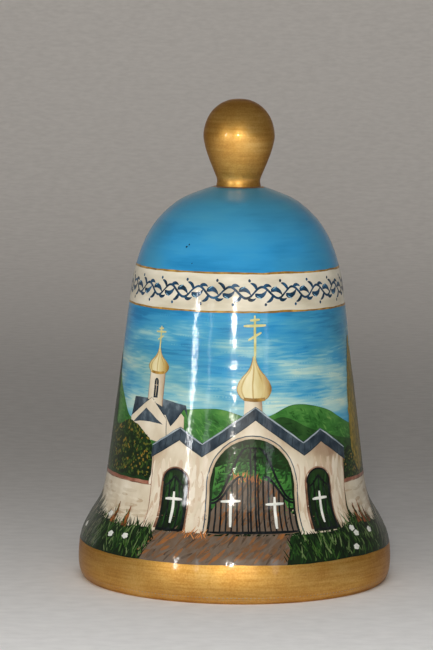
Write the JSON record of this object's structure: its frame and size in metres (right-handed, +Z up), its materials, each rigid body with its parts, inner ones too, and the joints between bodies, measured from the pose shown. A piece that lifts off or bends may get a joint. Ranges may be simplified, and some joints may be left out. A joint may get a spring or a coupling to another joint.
{
  "type": "hand bell",
  "caption": "Hollow flared porcelain bell with a domed crown, a pear-shaped finger knob on top, and a bead clapper that hangs from a swivelling eye pin.",
  "frame": {"origin": "centre of the flat ring that the rim stands on", "axes": "+Z up along the bell's axis, towards the knob; -Y is the side with the gatehouse picture"},
  "size_m": [0.0722, 0.0722, 0.11],
  "materials": {
    "painted_porcelain": "overglaze painting in blues, greens, browns and cream under a glossy varnish",
    "gilded_porcelain": "satin gold paint brushed over the glaze",
    "white_porcelain": "clear gloss glaze",
    "brass": "drawn and turned, slightly tarnished",
    "nylon": "moulded, natural colour"
  },
  "bodies": {
    "bell": {"bell_shell": "painted_porcelain", "knob": "gilded_porcelain", "crown_bush": "nylon", "head_washer": "brass"},
    "pin": {"eye_pin": "brass"},
    "clapper": {"clapper_rod": "brass", "upper_ferrule": "brass", "lower_ferrule": "brass"},
    "bead": {"clapper_bead": "white_porcelain"}
  },
  "joints": [
    {"name": "pin_turn", "type": "hinge", "parent": "bell", "child": "pin", "pos_m": [0, 0, 0.0925], "axis": [0, 0, 1], "continuous": true},
    {"name": "clapper_swing", "type": "hinge", "parent": "pin", "child": "clapper", "pos_m": [0, 0, 0.0791], "axis": [1, 0, 0], "range_deg": [-18.5, 18.5]},
    {"name": "bead_spin", "type": "hinge", "parent": "clapper", "child": "bead", "pos_m": [0, 0, 0.019], "axis": [0, 0, 1], "continuous": true}
  ]
}
